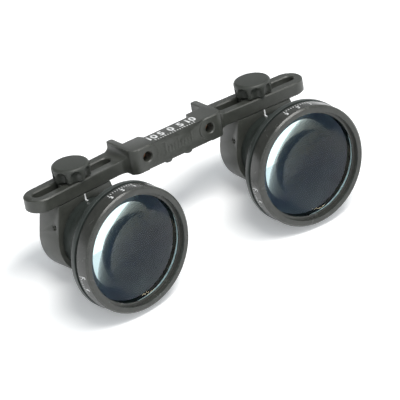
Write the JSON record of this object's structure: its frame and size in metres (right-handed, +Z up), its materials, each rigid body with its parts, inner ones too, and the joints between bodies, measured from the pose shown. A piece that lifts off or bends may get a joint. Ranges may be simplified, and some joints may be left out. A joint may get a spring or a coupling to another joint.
{
  "type": "binocular loupes",
  "caption": "Pair of short magnifying telescopes on clamped carriers that slide along a slotted bar with fixing holes.",
  "frame": {"origin": "midway between the bar's two fixing holes, on the bar's rear face", "axes": "+X along the bar to the wearer's left, as seen from the front it points right; -Y towards the objectives, +Y towards the eyes; +Z up"},
  "size_m": [0.093, 0.0318, 0.0363],
  "materials": {
    "bar_black": "satin black anodised bar and carriers",
    "knob_black": "moulded satin black knobs",
    "ring_black": "glossy black front rings with polished edge",
    "housing_black": "satin black turned housings",
    "steel": "bright steel",
    "brass": "turned brass",
    "seal_rubber": "black rubber",
    "coated_glass": "polished lens with a blue-green coating"
  },
  "bodies": {
    "bridge": {"bridge_bar": "bar_black", "threaded_bushes": "brass", "locating_pegs": "bar_black"},
    "telescope_left": {"carrier_left": "bar_black", "guide_pins_left": "bar_black", "grub_screws_left": "bar_black", "objective_housing_left": "housing_black", "objective_ring_left": "ring_black", "ring_seal_left": "seal_rubber", "objective_crown_left": "coated_glass", "objective_flint_left": "coated_glass", "objective_retainer_left": "housing_black", "light_baffle_left": "housing_black", "eyepiece_tube_left": "housing_black", "eyepiece_lens_left": "coated_glass", "eyepiece_retainer_left": "housing_black"},
    "washer_left": {"clamp_washer_left": "knob_black"},
    "knob_left": {"clamp_knob_left": "knob_black", "clamp_stud_left": "steel"},
    "telescope_right": {"carrier_right": "bar_black", "guide_pins_right": "bar_black", "grub_screws_right": "bar_black", "objective_housing_right": "housing_black", "objective_ring_right": "ring_black", "ring_seal_right": "seal_rubber", "objective_crown_right": "coated_glass", "objective_flint_right": "coated_glass", "objective_retainer_right": "housing_black", "light_baffle_right": "housing_black", "eyepiece_tube_right": "housing_black", "eyepiece_lens_right": "coated_glass", "eyepiece_retainer_right": "housing_black"},
    "washer_right": {"clamp_washer_right": "knob_black"},
    "knob_right": {"clamp_knob_right": "knob_black", "clamp_stud_right": "steel"}
  },
  "joints": [
    {"name": "carrier_slide_left", "type": "slide", "parent": "bridge", "child": "telescope_left", "axis": [-0.9981, -0.061, 0], "range_m": [-0.0055, 0.008]},
    {"name": "washer_lift_left", "type": "slide", "parent": "telescope_left", "child": "washer_left", "axis": [0, 0, 1], "range_m": [0, 0.00045]},
    {"name": "knob_turn_left", "type": "hinge", "parent": "washer_left", "child": "knob_left", "pos_m": [-0.03044, -0.00071, 0.001], "axis": [0, 0, 1], "range_deg": [0, 360]},
    {"name": "carrier_slide_right", "type": "slide", "parent": "bridge", "child": "telescope_right", "axis": [0.9981, -0.061, 0], "range_m": [-0.0055, 0.008]},
    {"name": "washer_lift_right", "type": "slide", "parent": "telescope_right", "child": "washer_right", "axis": [0, 0, 1], "range_m": [0, 0.00045]},
    {"name": "knob_turn_right", "type": "hinge", "parent": "washer_right", "child": "knob_right", "pos_m": [0.03044, -0.00071, 0.001], "axis": [0, 0, 1], "range_deg": [0, 360]}
  ],
  "couplings": [
    {"joint": "knob_turn_left", "follows": "washer_lift_left", "rad_per_m": 13962},
    {"joint": "knob_turn_right", "follows": "washer_lift_right", "rad_per_m": 13962}
  ]
}
